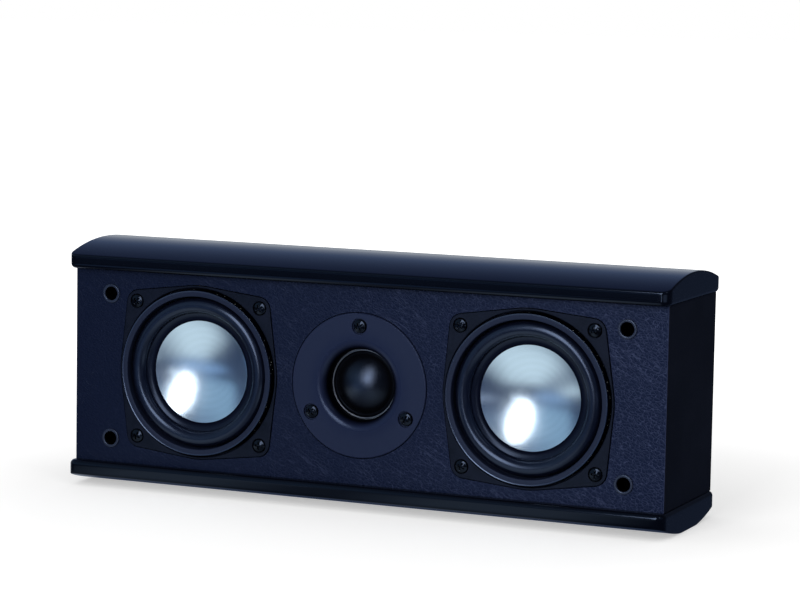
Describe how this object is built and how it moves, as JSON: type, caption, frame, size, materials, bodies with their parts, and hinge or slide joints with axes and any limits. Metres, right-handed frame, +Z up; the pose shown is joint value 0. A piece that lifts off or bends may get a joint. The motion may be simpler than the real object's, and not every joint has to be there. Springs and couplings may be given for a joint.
{
  "type": "center channel speaker",
  "caption": "Wide box loudspeaker with woofers either side of a dome tweeter, a leather-grain baffle and arched gloss caps",
  "frame": {"origin": "on the surface that it stands on, under the middle of the caps", "axes": "+X to the right along the cabinet, -Y out of the front, +Z up"},
  "size_m": [0.3588, 0.0895, 0.1398],
  "materials": {
    "leather_vinyl": "leather-grain vinyl over board",
    "side_vinyl": "smooth vinyl over board",
    "gloss_lacquer": "polished black lacquer",
    "board": "raw fibreboard",
    "socket_plastic": "satin black plastic",
    "frame_paint": "matte blue-black paint",
    "gasket_rubber": "matte rubber",
    "surround_rubber": "satin rubber",
    "cone_aluminium": "satin spun aluminium",
    "former_foil": "thin foil",
    "copper_wire": "lacquered copper wire",
    "spider_cloth": "resin-treated cloth",
    "plated_steel": "zinc-plated steel",
    "ferrite": "sintered ferrite",
    "terminal_brass": "brass lugs on a strip",
    "black_screws": "gloss black finish",
    "plate_plastic": "matte moulded plastic",
    "trim_metal": "satin metal",
    "dome_cloth": "coated cloth",
    "cup_plastic": "moulded black plastic",
    "gold_plate": "gold-plated brass",
    "red_knob_plastic": "gloss red plastic",
    "black_knob_plastic": "gloss black plastic",
    "board_laminate": "tan circuit laminate",
    "capacitor_sleeve": "printed-free plastic sleeve",
    "cement": "white cement"
  },
  "bodies": {
    "cabinet": {"front_baffle": "leather_vinyl", "left_side_panel": "side_vinyl", "right_side_panel": "side_vinyl", "top_deck": "board", "bottom_deck": "board", "rear_panel": "side_vinyl", "top_cap": "gloss_lacquer", "bottom_cap": "gloss_lacquer", "tweeter_faceplate": "plate_plastic", "tweeter_trim_ring": "trim_metal", "tweeter_dome": "dome_cloth", "tweeter_voice_coil": "copper_wire", "tweeter_terminals": "terminal_brass", "tweeter_screws": "black_screws", "tweeter_front_plate": "plated_steel", "tweeter_magnet": "ferrite", "tweeter_yoke": "plated_steel", "terminal_cup": "cup_plastic", "terminal_cup_screws": "black_screws", "post_nuts": "plated_steel", "crossover_board": "board_laminate", "inductor_spool": "cup_plastic", "inductor_winding": "copper_wire", "capacitors": "capacitor_sleeve", "resistor": "cement", "grille_socket_upper_left": "socket_plastic", "grille_socket_upper_right": "socket_plastic", "grille_socket_lower_left": "socket_plastic", "grille_socket_lower_right": "socket_plastic", "left_woofer_frame": "frame_paint", "left_woofer_gasket_ring": "gasket_rubber", "left_woofer_surround": "surround_rubber", "left_woofer_spider": "spider_cloth", "left_woofer_terminals": "terminal_brass", "left_woofer_screws": "black_screws", "left_woofer_front_plate": "plated_steel", "left_woofer_magnet": "ferrite", "left_woofer_yoke": "plated_steel", "right_woofer_frame": "frame_paint", "right_woofer_gasket_ring": "gasket_rubber", "right_woofer_surround": "surround_rubber", "right_woofer_spider": "spider_cloth", "right_woofer_terminals": "terminal_brass", "right_woofer_screws": "black_screws", "right_woofer_front_plate": "plated_steel", "right_woofer_magnet": "ferrite", "right_woofer_yoke": "plated_steel", "red_post": "gold_plate", "black_post": "gold_plate"},
    "left_cone": {"left_woofer_cone": "cone_aluminium", "left_woofer_coil_former": "former_foil", "left_woofer_voice_coil": "copper_wire"},
    "right_cone": {"right_woofer_cone": "cone_aluminium", "right_woofer_coil_former": "former_foil", "right_woofer_voice_coil": "copper_wire"},
    "red_bush": {"red_post_bush": "gold_plate"},
    "red_knob": {"red_post_knob": "red_knob_plastic"},
    "black_bush": {"black_post_bush": "gold_plate"},
    "black_knob": {"black_post_knob": "black_knob_plastic"}
  },
  "joints": [
    {"name": "left_cone_travel", "type": "slide", "parent": "cabinet", "child": "left_cone", "axis": [0, -1, 0], "range_m": [-0.002, 0.002], "stiffness_N_per_m": 900, "deforming": ["left_woofer_surround", "left_woofer_spider"]},
    {"name": "right_cone_travel", "type": "slide", "parent": "cabinet", "child": "right_cone", "axis": [0, -1, 0], "range_m": [-0.002, 0.002], "stiffness_N_per_m": 900, "deforming": ["right_woofer_surround", "right_woofer_spider"]},
    {"name": "red_bush_travel", "type": "slide", "parent": "cabinet", "child": "red_bush", "axis": [0, 1, 0], "range_m": [0, 0.0028]},
    {"name": "red_knob_turn", "type": "hinge", "parent": "red_bush", "child": "red_knob", "pos_m": [-0.00953, 0.0344, 0.06962], "axis": [0, 1, 0], "range_deg": [0, 1445]},
    {"name": "black_bush_travel", "type": "slide", "parent": "cabinet", "child": "black_bush", "axis": [0, 1, 0], "range_m": [0, 0.0028]},
    {"name": "black_knob_turn", "type": "hinge", "parent": "black_bush", "child": "black_knob", "pos_m": [0.00953, 0.0344, 0.06962], "axis": [0, 1, 0], "range_deg": [0, 1445]}
  ],
  "couplings": [
    {"joint": "red_knob_turn", "follows": "red_bush_travel", "rad_per_m": 8976},
    {"joint": "black_knob_turn", "follows": "black_bush_travel", "rad_per_m": 8976}
  ]
}
